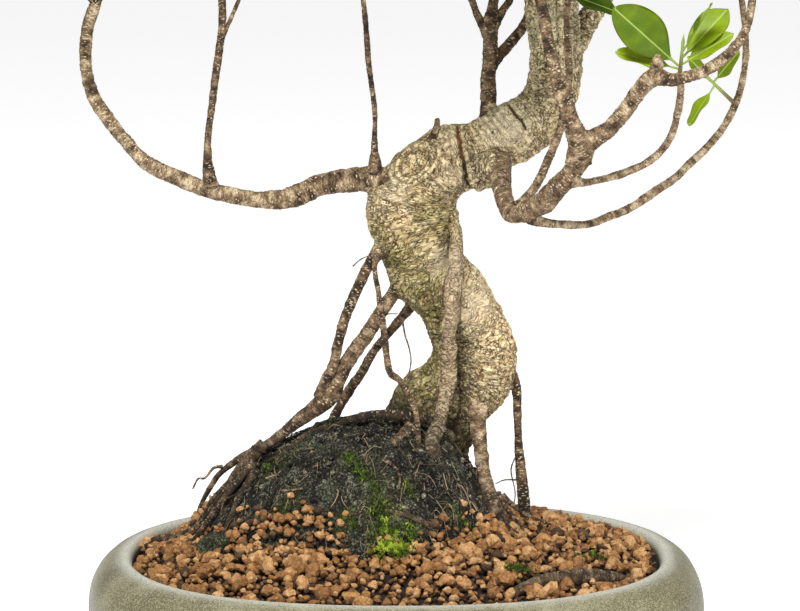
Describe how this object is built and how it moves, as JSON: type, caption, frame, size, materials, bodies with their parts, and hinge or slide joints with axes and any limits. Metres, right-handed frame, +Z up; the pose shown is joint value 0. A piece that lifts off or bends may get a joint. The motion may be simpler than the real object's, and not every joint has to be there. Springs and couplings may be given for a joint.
{
  "type": "chinese banyan bonsai",
  "caption": "Leafy bonsai tree with a curved, root-wrapped trunk and prop roots on a mound of soil, standing in a filled oval glazed pot.",
  "frame": {"origin": "on the surface that the pot's feet stand on, under the middle of the pot, which is also the middle of the whole outline", "axes": "+Z up, +X to the viewer's right along the oval pot, -Y towards the front of the tree"},
  "size_m": [0.426, 0.2976, 0.617],
  "materials": {
    "pot_glaze": "satin",
    "screen_plastic": "matte",
    "akadama": "matte",
    "root_soil": "matte",
    "moss_clod": "matte",
    "bark": "matte",
    "leaf": "satin"
  },
  "bodies": {
    "root": {"pot": "pot_glaze", "drain_screen_left": "screen_plastic", "drain_screen_right": "screen_plastic", "akadama_soil": "akadama", "root_ball": "root_soil", "mossy_clod": "moss_clod", "tree": "bark", "leaf_spray_01": "leaf", "leaf_spray_02": "leaf", "leaf_spray_03": "leaf", "leaf_spray_04": "leaf", "leaf_spray_05": "leaf", "leaf_spray_06": "leaf", "leaf_spray_07": "leaf", "leaf_spray_08": "leaf", "leaf_spray_09": "leaf", "leaf_spray_10": "leaf", "leaf_spray_11": "leaf", "leaf_spray_12": "leaf", "leaf_spray_13": "leaf", "leaf_spray_14": "leaf", "leaf_spray_15": "leaf", "leaf_spray_16": "leaf", "leaf_spray_17": "leaf", "leaf_spray_18": "leaf", "leaf_spray_19": "leaf", "leaf_spray_20": "leaf", "leaf_spray_21": "leaf", "leaf_spray_22": "leaf", "leaf_spray_23": "leaf", "leaf_spray_24": "leaf", "leaf_spray_25": "leaf", "leaf_spray_26": "leaf", "leaf_spray_27": "leaf", "leaf_spray_28": "leaf", "leaf_spray_29": "leaf", "leaf_spray_30": "leaf", "leaf_spray_31": "leaf", "leaf_spray_32": "leaf", "leaf_spray_33": "leaf", "leaf_spray_34": "leaf", "leaf_spray_35": "leaf", "leaf_spray_36": "leaf"}
  },
  "joints": []
}
